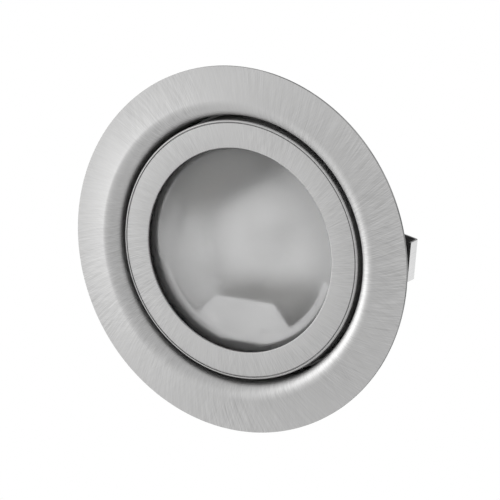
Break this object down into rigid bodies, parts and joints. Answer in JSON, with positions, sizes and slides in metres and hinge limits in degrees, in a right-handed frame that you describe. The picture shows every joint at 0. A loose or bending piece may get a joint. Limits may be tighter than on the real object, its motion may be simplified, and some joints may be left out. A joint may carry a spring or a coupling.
{
  "type": "soffit downlight",
  "caption": "Round recessed soffit downlight: brushed metal flange, pull-out front ring with frosted glass, small capsule lamp and two spring clips behind.",
  "frame": {"origin": "on the light's axis, in the plane of the soffit's face, where the flange's rim sits", "axes": "+Z along the light's axis, up into the soffit; the light shines towards -Z; +X through the right spring clip; +Y through the lampholder"},
  "size_m": [0.072, 0.072, 0.0242],
  "materials": {
    "brushed_nickel": "satin brushed, radial strokes",
    "can_steel": "drawn sheet, thin black enamel",
    "spring_steel": "bright nickel-plated strip",
    "rivet_aluminium": "plain",
    "reflector_aluminium": "satin anodised",
    "bracket_steel": "plain pressed sheet",
    "ceramic": "unglazed steatite",
    "contact_brass": "turned",
    "screw_steel": "zinc-plated",
    "grommet_rubber": "matt",
    "gasket_silicone": "matt black",
    "frosted_glass": "polished front, frosted rear",
    "quartz": "clear",
    "pin_metal": "drawn wire",
    "tungsten": "coiled wire"
  },
  "bodies": {
    "housing": {"trim_flange": "brushed_nickel", "rear_can": "can_steel", "can_rivets": "rivet_aluminium", "reflector": "reflector_aluminium", "reflector_rivet": "rivet_aluminium", "holder_bracket": "bracket_steel", "lampholder": "ceramic", "contact_sleeve_left": "contact_brass", "contact_sleeve_right": "contact_brass", "terminal_screws": "screw_steel", "holder_rivets": "rivet_aluminium", "lead_grommet": "grommet_rubber", "clip_foot_right": "spring_steel", "clip_foot_left": "spring_steel", "clip_rivets": "rivet_aluminium"},
    "ring_assembly": {"front_ring": "brushed_nickel", "glass_lens": "frosted_glass", "glass_gasket": "gasket_silicone", "retaining_ring": "spring_steel", "catch_spring_1": "spring_steel", "catch_spring_2": "spring_steel", "catch_spring_3": "spring_steel"},
    "lamp": {"lamp_bulb": "quartz", "lamp_pins": "pin_metal", "lamp_filament": "tungsten"},
    "clip_right": {"clip_arm_right": "spring_steel"},
    "clip_left": {"clip_arm_left": "spring_steel"}
  },
  "joints": [
    {"name": "ring_pull", "type": "slide", "parent": "housing", "child": "ring_assembly", "axis": [0, 0, -1], "range_m": [0, 0.016]},
    {"name": "lamp_pull", "type": "slide", "parent": "housing", "child": "lamp", "axis": [-0.0698, -0.9976, 0], "range_m": [0, 0.0074]},
    {"name": "clip_right_flex", "type": "hinge", "parent": "housing", "child": "clip_right", "pos_m": [0.0212, 0, 0.02183], "axis": [0, 1, 0], "range_deg": [0, 26], "stiffness_Nm_per_rad": 0.08},
    {"name": "clip_left_flex", "type": "hinge", "parent": "housing", "child": "clip_left", "pos_m": [-0.0212, 0, 0.02183], "axis": [0, -1, 0], "range_deg": [0, 26], "stiffness_Nm_per_rad": 0.08}
  ]
}
